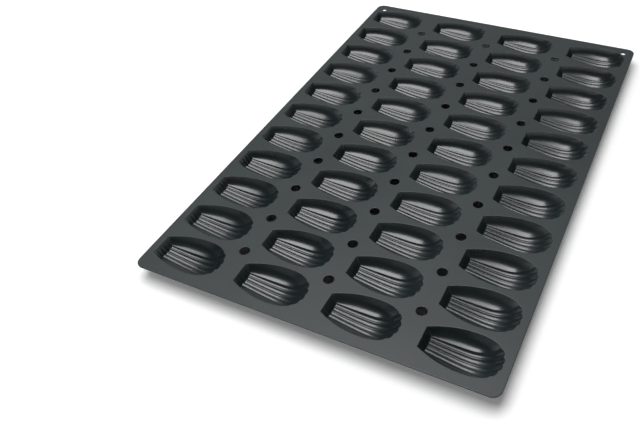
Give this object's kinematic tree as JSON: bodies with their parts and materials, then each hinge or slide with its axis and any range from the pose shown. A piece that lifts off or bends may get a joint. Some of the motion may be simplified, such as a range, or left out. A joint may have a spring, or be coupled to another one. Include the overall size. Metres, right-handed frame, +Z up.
{
  "type": "silicone madeleine mould",
  "caption": "One-piece silicone baking mould: a thin rounded sheet with rows of fluted shell-shaped hollows, air holes between them and two corner holes to hang it by.",
  "frame": {"origin": "centre of the sheet in plan, at the level that the hollows' bottoms stand on", "axes": "+Z up, out of the hollows' mouths; +Y along the long side of the sheet, towards the hanging holes; +X along each hollow, from its narrow end to its wide end"},
  "size_m": [0.4, 0.6, 0.0203],
  "materials": {
    "silicone": "satin moulded silicone, dark slate grey"
  },
  "bodies": {
    "root": {"mould": "silicone"}
  },
  "joints": []
}
